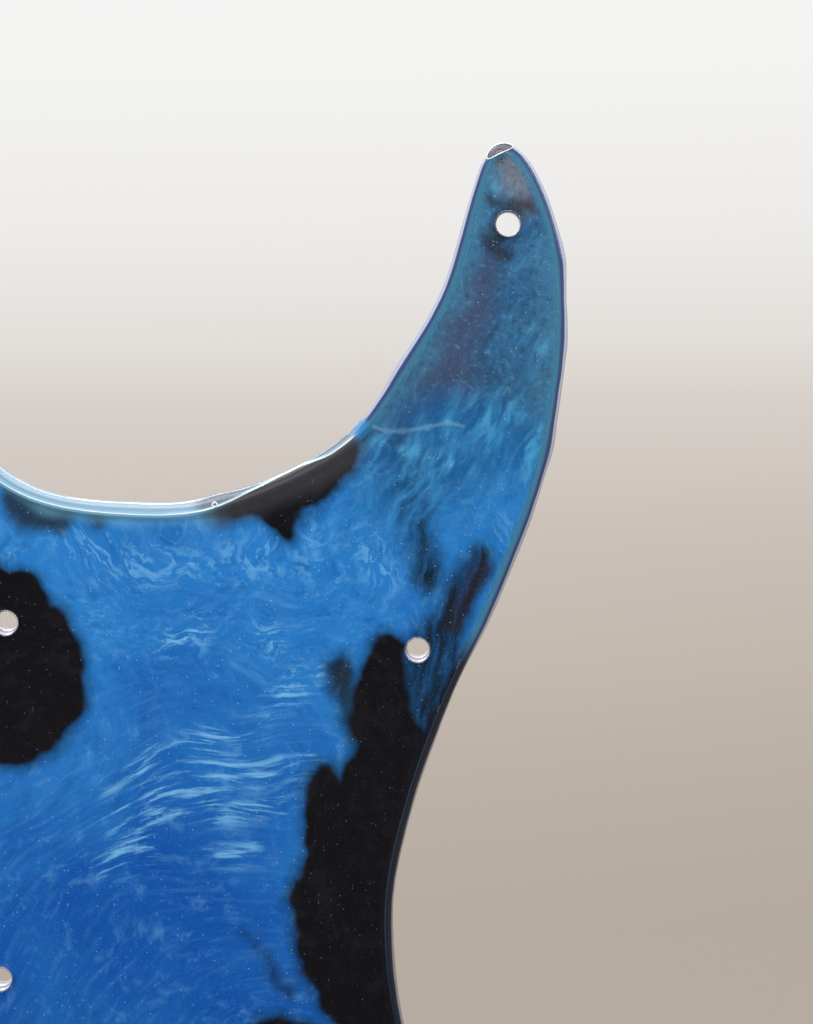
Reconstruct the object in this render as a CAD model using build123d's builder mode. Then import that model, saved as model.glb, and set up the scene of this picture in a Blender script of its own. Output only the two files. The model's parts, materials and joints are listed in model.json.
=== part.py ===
"""Poured-resin scratchplate for a double-cutaway electric guitar with three single-coil pickups.

The plate stands upright. X runs across the strings towards the treble side, Z runs up towards the
neck, and the back face lies in the plane Y = 0, so the show face looks towards -Y. The origin is
on the string centreline at the floor of the neck pocket. All sizes are in millimetres.

The plate is cast in layers. Coloured pours lie side by side in one 3 mm layer: the blue pearl
field, the smoky treble horn and several black pours. A clear coat covers their faces, and a clear
bead runs round the whole edge.
"""

import os
from math import cos, radians, sin

from build123d import *

# Layers and edge
colour_thick = 3.0
coat_thick = 1.0
bead_width = 1.5
bead_front_round = 1.1
bead_back_round = 0.7
inset_step = 3.0

# Neck pocket
pocket_width = 56.0
pocket_treble_wall = 4.2
pocket_bass_wall = 46.2
pocket_inner_round = 3.0
pocket_lip_round = 3.0
treble_lip_turn = 123.0
bass_lip_turn = 78.0

# Overall sizes: how far each horn reaches above the pocket floor, and the lobe below it
treble_horn_height = 61.0
bass_horn_height = 77.5
lobe_depth = 214.0
waist_width = 107.7

# Bridge cut-out
bridge_width = 87.0
bridge_front = -172.0
bridge_treble_wall = 10.0
bridge_bass_wall = 12.0
bridge_inner_round = 5.0
bridge_lip_round = 3.0
bridge_lip_turn = 58.0

# Pickup slots and their height screws
slot_length = 70.6
slot_width = 18.6
pickup_screw_margin = 3.2
neck_pickup = -24.5
middle_pickup = -88.0
bridge_pickup = -145.0
bridge_slant = 11.0

# Round holes
screw_hole = 4.2
pot_hole = 9.6
selector_length = 28.0
selector_width = 2.4
selector_screw_margin = 6.65
selector_place = (95.0, -120.0)
selector_turn = -62.0
volume_place = (63.0, -140.0)
tone_step = (23.0, -28.5)

# Outline anchors, each an (X, Z) place that the outline points near it follow
cutaway_floor = (pocket_width / 2 + 31.3, -2.9)
treble_horn_tip = (cutaway_floor[0] + 63.4, treble_horn_height)
waist = (waist_width, -75.2)
lobe_foot = (waist_width - 4.7, -lobe_depth)
bass_waist = (-bridge_width / 2 - 18.0, -105.0)
bass_horn_tip = (-pocket_width / 2 - 51.5, bass_horn_height)

# What goes with the pickups and the selector
pickup_screw_spacing = slot_length + 2 * pickup_screw_margin
selector_screw_spacing = selector_length + 2 * selector_screw_margin
pickups = [(neck_pickup, 0), (middle_pickup, 0), (bridge_pickup, -bridge_slant)]
pots = [(volume_place[0] + n * tone_step[0], volume_place[1] + n * tone_step[1]) for n in range(3)]

# The line under the horn pour, as steps from the horn's tip
horn_pour_line = [(-32.5, -45.0), (-7.0, -52.0), (19.5, -46.0)]
horn_pour_top = treble_horn_tip[1] + 5.0

os.makedirs("parts", exist_ok=True)


def near(anchor, *steps):
    """Places given as (across, up) steps from an anchor."""
    return [(anchor[0] + across, anchor[1] + up) for across, up in steps]


def heading(degrees):
    """Unit direction at an angle from +X towards up."""
    return (cos(radians(degrees)), sin(radians(degrees)))


def treble_side(start, end):
    """From the neck pocket round the cutaway, horn, waist and control lobe to the bridge."""
    return Spline(
        start,
        *near(cutaway_floor, (-22.4, 5.7), (-13.4, 1.4), (0, 0), (13.3, 0.9), (22.1, 3.9)),
        *near(cutaway_floor, (30.9, 8.3), (38.7, 13.9), (45.1, 22.7), (50.1, 31.4)),
        *near(treble_horn_tip, (-9.3, -23.8), (-6.8, -14.5), (-4.8, -6.4), (-3.1, -2.1), (0, 0)),
        *near(treble_horn_tip, (3.2, -1.5), (5.8, -5.0), (8.3, -10.0), (10.6, -17.7)),
        *near(treble_horn_tip, (11.8, -28.7), (11.4, -41.8), (9.4, -55.3), (6.2, -66.7)),
        *near(waist, (18.1, 61.0), (14.6, 52.2), (10.8, 43.9), (4.6, 26.7), (1.8, 16.1)),
        *near(waist, (0, 4.0), (0.1, -4.0), (2.5, -18.9), (6.2, -32.5), (11.0, -48.0)),
        *near(lobe_foot, (21.5, 73.0), (26.0, 54.0), (27.0, 34.0), (23.0, 17.0), (13.5, 4.8)),
        *near(lobe_foot, (0, 0), (-13.0, 3.5), (-26.0, 12.0), (-39.0, 21.0)),
        end,
        tangents=[heading(90 - treble_lip_turn), heading(90 + bridge_lip_turn)],
        tangent_scalars=[1, 1],
    )


def bass_side(start, end):
    """From the bridge up the bass edge and round the bass horn to the neck pocket."""
    return Spline(
        start,
        *near((-bridge_width / 2, bridge_front), (-4.5, -17.0), (-11.0, -17.5), (-17.0, -12.0)),
        *near(bass_waist, (-1.3, -62.0), (-0.9, -40.0), (0, -15.0), (0, 15.0), (-1.5, 45.0)),
        *near(bass_waist, (-5.0, 75.0), (-10.5, 105.0)),
        *near(bass_horn_tip, (0, -47.5), (-4.5, -25.0), (-6.3, -11.0), (-4.8, -3.4), (0, 0)),
        *near(bass_horn_tip, (6.2, -2.8), (13.5, -10.0), (24.5, -18.7), (37.5, -25.5)),
        end,
        tangents=[heading(-90), heading(bass_lip_turn - 90)],
        tangent_scalars=[1, 1],
    )


def edge_screws():
    """Places of the eleven screws that hold the plate to the body."""
    treble_corner, bass_corner = (bridge_width / 2, bridge_front), (-bridge_width / 2, bridge_front)
    return [
        *near(treble_horn_tip, (1.2, -13.7)),
        *near(waist, (2.9, 48.2), (-1.5, -28.5)),
        *near(lobe_foot, (20.0, 54.0), (-6.0, 7.0)),
        *near(treble_corner, (7.0, -6.5)),
        *near(bass_corner, (-9.5, -8.5)),
        *near(bass_waist, (5.5, 0), (0.5, 75.0)),
        *near(bass_horn_tip, (1.5, -10.5)),
        *near((pocket_width / 2, 0), (6.0, -3.5)),
    ]


def black_pours():
    """Closed outlines of the black pours. Those at the edge run past it and are trimmed to it."""
    slot_end = (slot_length / 2, neck_pickup)
    left_pool = [(-20.0, 2.9), (-18.6, -3.2), (-14.2, -6.0), (-9.3, -4.3), (-7.9, 0), (-11.7, 5.7)]
    right_pool = [(-6.8, 0), (-4.6, -4.9), (-1.9, -2.5), (-1.4, 3.0), (-4.8, 4.9)]
    return {
        "black_pour_cutaway": [
            near(cutaway_floor, (11.7, -2.0), (16.6, -2.8), (22.3, -1.4), (25.8, -4.4), (28.2, -6.6))
            + near(cutaway_floor, (30.7, -2.8), (36.8, 3.6), (39.7, 7.9), (38.0, 13.3), (23.4, 11.1))
        ],
        "black_pours_pocket_side": [near(cutaway_floor, *left_pool), near(cutaway_floor, *right_pool)],
        "black_pour_neck": [
            near(slot_end, (2.7, 10.3), (7.9, 9.7), (10.9, 3.4), (15.6, -2.4), (17.9, -8.8), (16.3, -13.4))
            + near(slot_end, (12.3, -20.4), (5.0, -24.6), (-5.0, -25.0), (-12.0, -19.0), (-9.0, 0))
        ],
        "black_pour_waist": [
            near(waist, (-3.2, 52.0), (1.7, 55.0), (6.5, 61.0), (11.8, 67.0), (29.0, 66.0), (22.0, 36.0))
            + near(waist, (12.0, 0), (14.0, -30.0), (14.0, -47.0), (1.5, -41.0), (-5.5, -32.0))
            + near(waist, (-9.2, -20.3), (-16.3, -7.8), (-18.3, 3.0), (-15.0, 12.0), (-16.2, 23.0))
            + near(waist, (-11.7, 30.0), (-9.1, 37.0), (-6.5, 45.0))
        ],
        "black_pour_bass_edge": [
            near(bass_waist, (-10.0, 56.0), (3.0, 55.0), (12.0, 45.0), (15.0, 32.0))
            + near(bass_waist, (9.0, 21.0), (-10.0, 18.0))
        ],
        "black_pour_centre": [
            near((0, middle_pickup), (-24.0, -26.0), (-9.0, -17.0), (8.0, -19.0), (24.0, -27.0))
            + near((0, middle_pickup), (12.0, -34.0), (-8.0, -31.0))
        ],
        "black_pour_lobe": [
            near(lobe_foot, (35.0, 44.0), (19.5, 43.0), (14.5, 33.0), (15.5, 22.0))
            + near(lobe_foot, (21.5, 15.0), (35.0, 18.0))
        ],
    }


def outline():
    """Closed, smooth outline: filleted lines at the neck pocket and bridge, a spline each side."""
    half_pocket, half_bridge = pocket_width / 2, bridge_width / 2
    treble_top, bass_top = (half_pocket, pocket_treble_wall), (-half_pocket, pocket_bass_wall)
    treble_foot = (half_bridge, bridge_front - bridge_treble_wall)
    bass_foot = (-half_bridge, bridge_front - bridge_bass_wall)
    with BuildLine() as line:
        treble_lip = JernArc(treble_top, (0, 1), pocket_lip_round, -treble_lip_turn)
        bridge_lip = JernArc(treble_foot, (0, -1), bridge_lip_round, bridge_lip_turn)
        bass_lip = JernArc(bass_top, (0, 1), pocket_lip_round, bass_lip_turn)
        treble_side(treble_lip @ 1, bridge_lip @ 1)
        FilletPolyline(
            treble_foot,
            (half_bridge, bridge_front),
            (-half_bridge, bridge_front),
            bass_foot,
            radius=bridge_inner_round,
        )
        bass_side(bass_foot, bass_lip @ 1)
        FilletPolyline(
            bass_top,
            (-half_pocket, 0),
            (half_pocket, 0),
            treble_top,
            radius=pocket_inner_round,
        )
    return line.line


def moved_in(edge, face, distance):
    """An edge of the face moved sideways into the face: a line, an arc or a spline as it was."""
    middle, across = edge @ 0.5, (edge % 0.5).rotate(Axis.Z, 90)
    turn = 90 if face.is_inside(middle + across * distance) else -90

    def place(share):
        return edge @ share + (edge % share).rotate(Axis.Z, turn) * distance

    if edge.geom_type == GeomType.LINE:
        return Line(place(0), place(1))
    if edge.geom_type == GeomType.CIRCLE:
        return ThreePointArc(place(0), place(0.5), place(1))
    count = round(edge.length / inset_step)
    places = [place(step / count) for step in range(count + 1)]
    return Spline(*places, tangents=[edge % 0, edge % 1], tangent_scalars=[1, 1])


with BuildSketch() as plate:
    add(outline())
    make_face()

with BuildSketch() as colour_layer:
    with BuildLine():
        for plate_edge in plate.edges():
            moved_in(plate_edge, plate.sketch.face(), bead_width)
    make_face()

with BuildSketch() as openings:
    for height, slant in pickups:
        with Locations(Location((0, height, 0), (0, 0, slant))):
            SlotOverall(slot_length, slot_width)
            with GridLocations(pickup_screw_spacing, 1, 2, 1):
                Circle(screw_hole / 2)
    with Locations(Location((*selector_place, 0), (0, 0, selector_turn))):
        SlotOverall(selector_length, selector_width)
        with GridLocations(selector_screw_spacing, 1, 2, 1):
            Circle(screw_hole / 2)
    with Locations(*edge_screws()):
        Circle(screw_hole / 2)
    with Locations(*pots):
        Circle(pot_hole / 2)


def poured(points):
    """A pour's area: its closed outline, kept to the colour layer and clear of the openings."""
    with BuildSketch() as area:
        with BuildLine():
            Spline(*points, periodic=True)
        make_face()
        add(colour_layer.sketch, mode=Mode.INTERSECT)
        add(openings.sketch, mode=Mode.SUBTRACT)
    return area.sketch


def finish(part, name):
    """Names a finished piece and writes it."""
    part.label = name
    export_step(part, f"parts/{name}.step")


black_areas = {name: [poured(points) for points in blobs] for name, blobs in black_pours().items()}

with BuildSketch() as horn_area:
    left, middle, right = near(treble_horn_tip, *horn_pour_line)
    with BuildLine():
        ThreePointArc(left, middle, right)
        Polyline(right, (right[0], horn_pour_top), (left[0], horn_pour_top), left)
    make_face()
    add(colour_layer.sketch, mode=Mode.INTERSECT)
    add(openings.sketch, mode=Mode.SUBTRACT)

with BuildPart() as smoke_horn_pour:
    with BuildSketch(Plane.XZ):
        add(horn_area.sketch)
    extrude(amount=colour_thick)
finish(smoke_horn_pour.part, "smoke_horn_pour")

for name, areas in black_areas.items():
    with BuildPart() as black_pour:
        with BuildSketch(Plane.XZ):
            for area in areas:
                add(area)
        extrude(amount=colour_thick)
    finish(black_pour.part, name)

with BuildPart() as blue_pearl_pour:
    with BuildSketch(Plane.XZ):
        add(colour_layer.sketch)
        add(openings.sketch, mode=Mode.SUBTRACT)
        add(horn_area.sketch, mode=Mode.SUBTRACT)
        for areas in black_areas.values():
            for area in areas:
                add(area, mode=Mode.SUBTRACT)
    extrude(amount=colour_thick)
finish(blue_pearl_pour.part, "blue_pearl_pour")

with BuildPart() as clear_face_coat:
    with BuildSketch(Plane.XZ.offset(colour_thick)):
        add(colour_layer.sketch)
        add(openings.sketch, mode=Mode.SUBTRACT)
    extrude(amount=coat_thick)
finish(clear_face_coat.part, "clear_face_coat")

with BuildPart() as clear_edge_bead:
    with BuildSketch(Plane.XZ):
        add(plate.sketch)
        add(colour_layer.sketch, mode=Mode.SUBTRACT)
        add(openings.sketch, mode=Mode.SUBTRACT)
    extrude(amount=colour_thick + coat_thick)
    front = clear_edge_bead.faces().sort_by(Axis.Y)[0]
    back = clear_edge_bead.faces().sort_by(Axis.Y)[-1]
    fillet(front.outer_wire().edges(), bead_front_round)
    fillet(back.outer_wire().edges(), bead_back_round)
finish(clear_edge_bead.part, "clear_edge_bead")
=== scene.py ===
"""Looks of a poured-resin guitar scratchplate: pigmented pours, clear coat, beaded edge and stage."""

import json

import bmesh
import bpy
import numpy as np
from bpy.props import FloatProperty, FloatVectorProperty, PointerProperty
from mathutils import Matrix, Vector


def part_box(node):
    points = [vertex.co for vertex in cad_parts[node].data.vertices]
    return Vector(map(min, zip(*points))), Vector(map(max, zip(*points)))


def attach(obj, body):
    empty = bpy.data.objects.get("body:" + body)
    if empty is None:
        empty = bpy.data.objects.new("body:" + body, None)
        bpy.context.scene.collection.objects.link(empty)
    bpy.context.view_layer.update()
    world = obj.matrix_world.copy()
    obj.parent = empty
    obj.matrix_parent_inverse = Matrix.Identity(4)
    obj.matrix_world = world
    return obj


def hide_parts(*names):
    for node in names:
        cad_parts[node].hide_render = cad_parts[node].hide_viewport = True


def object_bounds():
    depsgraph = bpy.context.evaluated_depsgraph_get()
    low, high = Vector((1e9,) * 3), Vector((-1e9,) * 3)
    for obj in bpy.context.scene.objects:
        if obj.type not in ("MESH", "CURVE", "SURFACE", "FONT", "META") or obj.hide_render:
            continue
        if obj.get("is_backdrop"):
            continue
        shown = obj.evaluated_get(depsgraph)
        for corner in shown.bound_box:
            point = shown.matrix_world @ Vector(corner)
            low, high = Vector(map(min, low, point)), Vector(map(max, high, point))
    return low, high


bl_info = {
    "name": "Resin scratchplate",
    "version": (1, 0, 0),
    "blender": (4, 5, 0),
    "location": "View3D > Sidebar > Scratchplate",
    "description": "Pigmented pours, clear coat, edge bead and hole sleeves of a poured-resin scratchplate",
    "category": "Object",
}

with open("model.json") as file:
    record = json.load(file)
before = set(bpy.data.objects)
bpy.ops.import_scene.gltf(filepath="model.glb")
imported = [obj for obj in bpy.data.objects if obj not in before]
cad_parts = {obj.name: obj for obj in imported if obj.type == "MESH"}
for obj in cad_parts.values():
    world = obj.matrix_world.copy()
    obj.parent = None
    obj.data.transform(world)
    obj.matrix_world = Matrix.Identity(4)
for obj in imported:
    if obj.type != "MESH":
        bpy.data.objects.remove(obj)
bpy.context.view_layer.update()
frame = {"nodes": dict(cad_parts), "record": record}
MM = 0.001

# Every table of strokes gives, in mm, x and z of one end, x and z of the other, then the radius at each end.
# Pools of black pigment. The order matters a little, because neighbours are rounded into one another in turn.
CUTAWAY_POOL = [
    (74.5, -3, 82, -1, 2.6, 4.6), (85, -0.4, 86.8, -7.2, 5.8, 1.8), (89, 2.6, 95.4, 7, 6.2, 4.2),
]
BLACK_POOLS = [
    # Round the treble end of the neck pickup, then on the cutaway.
    (40, -19.5, 42, -27, 4.6, 7.5), (42, -29, 43, -36, 9.4, 10), (41, -40, 39, -42, 8.8, 8.2),
    *CUTAWAY_POOL,
    # Down the treble waist.
    (105.2, -27, 104.4, -40, 3, 5.8), (107, -45, 105, -56, 6.4, 8), (95, -51, 96.5, -60, 3.4, 5.2),
    (103.2, -52, 102, -66, 6, 8), (97.5, -60, 98.8, -72, 5.5, 9), (99.6, -72, 101, -82, 10, 9.6),
    (103, -88, 107, -97, 8.2, 5.5), (105, -70, 106, -92, 4, 4.5), (87, -97, 95, -99, 4, 4),
    # On the bass edge, then between the middle and bridge pickups.
    (-60, -60, -57, -74, 10, 10), (-20, -113.5, 0, -113, 5.0, 9.0), (0, -113, 19, -115.5, 9.0, 5.5),
    # The left end of the neck pool, then the lower end of the waist pool.
    (29, -39.5, 31, -44, 6.8, 5.4), (36, -15, 38, -19, 2.0, 3.4), (107, -98, 108.5, -113, 6.5, 6.0),
    # On the control lobe.
    (126, -178, 126, -192, 8, 7),
]
# Black thinned out over the blue: soft blots, then veils drawn down in feathers, then smoky strokes.
SOFT_POOLS = [
    (43, -3.6, 46, -3.6, 5.4, 5.2), (54.2, -4.6, 54.4, -6.2, 2.0, 1.4), (97, -31, 103, -46, 1.2, 2.6),
]
VEIL_POOLS = [(107, 9, 109.6, -3, 1.2, 3.0), (109.6, -3, 113, -14, 3.0, 3.4)]
THIN_POOLS = [
    (80.6, -77.6, 89.6, -88.3, -0.6, 0.6), (111.4, -6, 112.4, -14, 0.4, 2.2),
    (96.6, -30, 103, -47, 1.6, 3.2), (120.6, -11, 113.6, -27, 2.0, 4.6),
    (113.6, -27, 109.5, -44, 4.6, 4.4), (-70, 20, -62, 2, 2, 4),
]
# Where the pearl lies thickest, in the field and then in the treble horn.
PEARL_POOLS = [
    (58, -52, 72, -46, 1.6, 2.4), (72, -45, 84, -41, 2.0, 1.4), (60, -59, 74, -52, 3.0, 3.4),
    (72, -51, 92, -48, 2.6, 1.6), (76, -56, 90, -55, 1.8, 1.4), (57, -67, 64, -63, 1.4, 2.0),
    (76, -65, 82, -64, 0.6, 0.8), (87, -36, 93, -32, 1.8, 2.0), (67, -27, 72, -25, 1.2, 1.8),
    (84, -25, 86, -27, 0.8, 0.8), (46, -7, 60, -14, 1.5, 3.0), (62, -14, 84, -12, 2.5, 2.5),
    (100, -8, 104, -14, 1.5, 2.0), (100, 6, 112, 4, 3.0, 3.0), (-40, -20, -20, -60, 4, 3),
    (-30, -150, 60, -170, 8, 6),
]
HORN_PEARLS = [
    (119.6, 58, 123, 52, 0.5, 0.9), (121.6, 22, 126.6, 14, 0.3, 0.8), (118.6, 17.5, 121, 12, 0.2, 0.8),
    (128.6, 30, 131, 26, 0.2, 0.6), (100.5, 9.6, 108, 8.6, 1.4, 0.5), (110, 7.6, 118, 5, 0.2, 0.8),
    (130, 12, 128, 3, 0.6, 1.0),
]
# A pale drawn line across the horn's foot, and the blue that crosses the bead where the cutaway ends.
FOOT_LINE = [
    (101.6, 11.8, 104.1, 11, 0, 0), (104.1, 11, 106.9, 11.1, 0, 0), (106.9, 11.1, 111.1, 11.9, 0, 0),
    (111.1, 11.9, 114.5, 12.9, 0, 0), (114.5, 12.9, 117.3, 12.3, 0, 0),
]
CROSSING_BLUE = [(98.4, 12.4, 101, 10.2, 0.7, 0.7)]
# The dark heart of the thinned stroke beside the waist, and brown-black round the horn's hole.
BROWN_POOLS = [
    (120.8, -13, 117, -22, 0.9, 1.3), (124, 49.8, 121.6, 44.4, 1.8, 0.8),
    (120.6, 44.4, 124.2, 42.8, 0.3, 0.6), (120.6, 51, 127.6, 50.6, 0.2, 0.5),
]
# Violet haze down the treble horn, and the pale haze at its tip.
VIOLET_POOLS = [(121.6, 42, 111.5, 12, 1.2, 5.6)]
PALE_POOLS = [(124.2, 57.5, 126.4, 52, 1.6, 0.8)]
# The treble horn's edges, where the pour turns a paler teal, the cutaway's edge, where the bead and the pours
# below it are painted pale with light that comes through, and the treble waist's edge, where black lies beneath
# the bead.
HORN_EDGES = [
    (98, 11, 104.4, 19.8, 0, 0), (104.4, 19.8, 110, 29, 0, 0), (110, 29, 114, 38, 0, 0),
    (114, 38, 118, 54.5, 0, 0), (133.3, 43, 134.5, 32, 0, 0), (134.5, 32, 134, 19, 0, 0),
    (134, 19, 130.5, 0, 0, 0),
]
CUTAWAY_EDGE = [
    (34, 6, 46, -1.4, 0, 0), (46, -1.4, 59, -2.9, 0, 0), (59, -2.9, 73, -1.8, 0, 0),
    (73, -1.8, 90, 5.6, 0, 0), (90, 5.6, 95, 8.6, 0, 0),
]
WAIST_EDGE = [(113, -34, 107.5, -56, 0, 0), (107.5, -56, 107, -92, 0, 0)]
# The eddy that the long threads turn about: its place in mm.
EDDY = (84, 0, -108)

# Every table of tones gives a place from 0 to 1, a colour and a cover.
# The paper sweep's painted light, from its foot to its top.
SWEEP_TONES = [
    (0.04, "#B4AA9F", 1), (0.12, "#C2B8AE", 1), (0.42, "#DED6D0", 1), (0.52, "#EBE7E3", 1),
    (0.68, "#F6F4F2", 1), (0.95, "#FDFDFC", 1),
]
# The bead's bands from its outer edge inwards: round most of the plate, along the cutaway and down the waist.
# They are painted light: pale strips and dark lines for the light the bead bends and lets through, and along the
# cutaway two painted white highlights and a pale glow.
SIDE_BANDS = [
    (0.0, "#8FA0CC", 0.6), (0.14, "#A9B8DC", 0.6), (0.2, "#1A3570", 0.92), (0.33, "#17386C", 0.95),
    (0.4, "#35698A", 0.97), (0.62, "#3C7896", 0.96), (0.78, "#44809E", 0.45), (0.95, "#44809E", 0.0),
]
CUTAWAY_BANDS = [
    (0.0, "#9FBCD4", 0.5), (0.03, "#FBFDFE", 0.9), (0.07, "#8FB9D8", 0.7), (0.3, "#9CC0DA", 0.75),
    (0.6, "#8FC3E0", 0.8), (0.655, "#C3E0F0", 0.9), (0.67, "#FFFFFF", 1.0), (0.7, "#FFFFFF", 1.0),
    (0.73, "#A9DDF2", 0.7), (1.0, "#86CDEC", 0.3),
]
WAIST_BANDS = [
    (0.0, "#7C7A8A", 0.6), (0.08, "#6C6A78", 0.6), (0.14, "#101A34", 0.95), (0.45, "#0B0E1C", 0.97),
    (0.5, "#16384E", 0.97), (0.57, "#131C26", 0.97), (0.68, "#1A1A20", 0.9), (1.0, "#241E22", 0.1),
]
# The resin set in a hole, from its rim on the face to the bore.
SLEEVE_TONES = [
    (0.0, "#A9AEC0", 0.15), (0.3, "#6E6C7C", 0.9), (0.6, "#C4C2D2", 0.85), (1.0, "#EEECF2", 0.85),
]

# Air trapped under the clear epoxy: place x, z, half length, half width in mm, and slant in degrees.
BUBBLES = {"bubble_tip": (121.9, 59.7, 2.4, 0.8, 27), "bubble_cutaway": (74.6, -2.6, 0.42, 0.36, 0)}
# Screw pairs that stand aslant on the plate, in degrees from level.
PATTERN_SLANTS = {"bridge_pickup_screws": -11, "selector_screws": -62}
# Set drips that stand out from the edge: place x, z and half length along the edge, in mm.
DRIPS = [
    (134.5, 42, 4), (135, 28, 5), (132.5, 9, 4), (106, 22, 5), (75, -1, 4), (-61, -90, 6),
    (120, -214, 6), (-80, 60, 5),
]

# Refractive index of cured epoxy.
EPOXY_IOR = 1.5
# The camera's place, the point it looks at, its roll in degrees and its lens in mm.
CAMERA_PLACE, CAMERA_AIM = (0.111, -0.404, 0.030), (0.10793, -0.004, -0.00285)
CAMERA_ROLL, CAMERA_LENS = 1.73, 81.3


def colour(code):
    """A CSS colour such as #1B62AE as linear red, green, blue and alpha."""
    parts = np.array([int(code[i : i + 2], 16) for i in (1, 3, 5)]) / 255
    linear = np.where(parts <= 0.04045, parts / 12.92, ((parts + 0.055) / 1.055) ** 2.4)
    return (*map(float, linear), 1.0)


class PourSettings(bpy.types.PropertyGroup):
    """Colours and pattern sizes of the pigmented pours."""

    deep_blue: FloatVectorProperty(
        name="Deep blue", description="Blue pearl in the shaded parts of the pour", size=4,
        subtype="COLOR", min=0, max=1, default=colour("#0A55AE"),
    )
    clear_blue: FloatVectorProperty(
        name="Clear blue", description="Blue pearl over most of the pour", size=4,
        subtype="COLOR", min=0, max=1, default=colour("#2A80CC"),
    )
    pearl: FloatVectorProperty(
        name="Pearl", description="Bright threads of mica drawn out by the pour", size=4,
        subtype="COLOR", min=0, max=1, default=colour("#7FC4EE"),
    )
    black: FloatVectorProperty(
        name="Black", description="Black pigment pools", size=4,
        subtype="COLOR", min=0, max=1, default=colour("#0E0D12"),
    )
    slate: FloatVectorProperty(
        name="Slate", description="Smoky blue of the treble horn", size=4,
        subtype="COLOR", min=0, max=1, default=colour("#35668F"),
    )
    violet: FloatVectorProperty(
        name="Violet", description="Violet-brown haze in the treble horn", size=4,
        subtype="COLOR", min=0, max=1, default=colour("#454560"),
    )
    swirl: FloatProperty(
        name="Swirl", description="Size of the slow eddies that bend the pour, in millimetres",
        default=38.0, min=5.0, max=120.0,
    )
    thread: FloatProperty(
        name="Thread", description="Spacing of the pearl threads, in millimetres",
        default=1.5, min=0.5, max=10.0,
    )
    speck: FloatProperty(
        name="Speck", description="Spacing of the mica specks, in millimetres",
        default=0.75, min=0.3, max=5.0,
    )


class ClearSettings(bpy.types.PropertyGroup):
    """Sizes of the clear resin: the edge bead and the hole sleeves."""

    bead_reach: FloatProperty(
        name="Bead reach", description="How far the bead laps over the face", default=2.4 * MM,
        min=1 * MM, max=2.6 * MM, unit="LENGTH",
    )
    crest: FloatProperty(
        name="Crest", description="Height of the bead's crests over the face", default=0.12 * MM,
        min=0, max=1 * MM, unit="LENGTH",
    )
    drip: FloatProperty(
        name="Drip", description="How far the set drips stand out from the edge", default=0.55 * MM,
        min=0, max=2 * MM, unit="LENGTH",
    )
    rim: FloatProperty(
        name="Rim", description="Width of the raised rim round a hole", default=0.3 * MM,
        min=0.1 * MM, max=2 * MM, unit="LENGTH",
    )


class StageSettings(bpy.types.PropertyGroup):
    """Light and backdrop."""

    key: FloatProperty(
        name="Key", description="Power of the large softbox", default=19.0, min=0, subtype="POWER",
    )
    top: FloatProperty(
        name="Top", description="Power of the strip above", default=2.5, min=0, subtype="POWER",
    )
    distance: FloatProperty(
        name="Backdrop distance", description="How far behind the plate the backdrop rises",
        default=3.0, min=2.5, max=6.0, unit="LENGTH",
    )


def add(tree, kind, ins=(), out=0, **settings):
    """Adds a node of that kind, sets it up and fills or links its inputs; gives an output, or the node."""
    node = tree.nodes.new(kind)
    for name, value in settings.items():
        setattr(node, name, value)
    for key, value in dict(ins).items():
        if isinstance(value, bpy.types.NodeSocket):
            tree.links.new(value, node.inputs[key])
        else:
            node.inputs[key].default_value = value
    return node if out is None else node.outputs[out]


def maths(tree, operation, *values, **settings):
    """The result of a maths node on up to three values."""
    return add(tree, "ShaderNodeMath", dict(enumerate(values)), operation=operation, **settings)


def vectors(tree, operation, first, second=None):
    """The result of a vector maths node: a number for a length, distance or dot product, else a vector."""
    ins = {0: first}
    if second is not None:
        ins["Scale" if operation == "SCALE" else 1] = second
    out = int(operation in ("LENGTH", "DISTANCE", "DOT_PRODUCT"))
    return add(tree, "ShaderNodeVectorMath", ins, out, operation=operation)


def noise(tree, place, scale, detail, roughness=0.5, out=0):
    """Noise at a place: a value, or with out=1 three of them as a vector."""
    ins = {"Vector": place, "Scale": scale, "Detail": detail, "Roughness": roughness}
    return add(tree, "ShaderNodeTexNoise", ins, out)


def drawn_noise(tree, place, turn, cell, detail, roughness):
    """Noise drawn out into cells of that size in mm, turned about the plate's normal."""
    ins = {"Vector": place, "Rotation": (0, turn, 0), "Scale": cell}
    drawn = add(tree, "ShaderNodeMapping", ins, vector_type="TEXTURE")
    return noise(tree, drawn, 1.0, detail, roughness)


def part_of(tree, vector, axis):
    """One part of a vector: 0 across the plate, 1 through it, 2 up it."""
    return add(tree, "ShaderNodeSeparateXYZ", {0: vector}, axis)


def place_in_mm(tree):
    """Where a point is on the plate's face, in mm."""
    here = add(tree, "ShaderNodeTexCoord", out="Object")
    return vectors(tree, "MULTIPLY", here, (1000, 0, 1000))


def new_material(name):
    """An empty node material and its tree."""
    material = bpy.data.materials.new(name)
    material.use_nodes = True
    material.node_tree.nodes.clear()
    return material, material.node_tree


def pool_depth(tree, place, strokes):
    """How far outside the nearest stroke a point is, in mm: its distance to it less the radius there."""
    nearest = None
    for ax, az, bx, bz, ra, rb in strokes:
        a, along = Vector((ax, 0, az)), Vector((bx - ax, 0, bz - az))
        step = vectors(tree, "SUBTRACT", place, a)
        share = vectors(tree, "DOT_PRODUCT", step, along / along.length_squared)
        share = add(tree, "ShaderNodeClamp", {0: share})
        foot = vectors(tree, "SCALE", along, share)
        gap = vectors(tree, "DISTANCE", step, foot)
        width = maths(tree, "MULTIPLY_ADD", share, rb - ra, ra)
        depth = maths(tree, "SUBTRACT", gap, width)
        if nearest is None:
            nearest = depth
        else:
            nearest = maths(tree, "SMOOTH_MIN", nearest, depth, 1.5)
    return nearest


def ramp(tree, value, low, high, top=1.0):
    """A smooth step: 0 where the value is at low, top where it is at high."""
    return add(
        tree, "ShaderNodeMapRange",
        {"Value": value, "From Min": low, "From Max": high, "To Min": 0.0, "To Max": top},
        interpolation_type="SMOOTHSTEP",
    )


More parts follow.
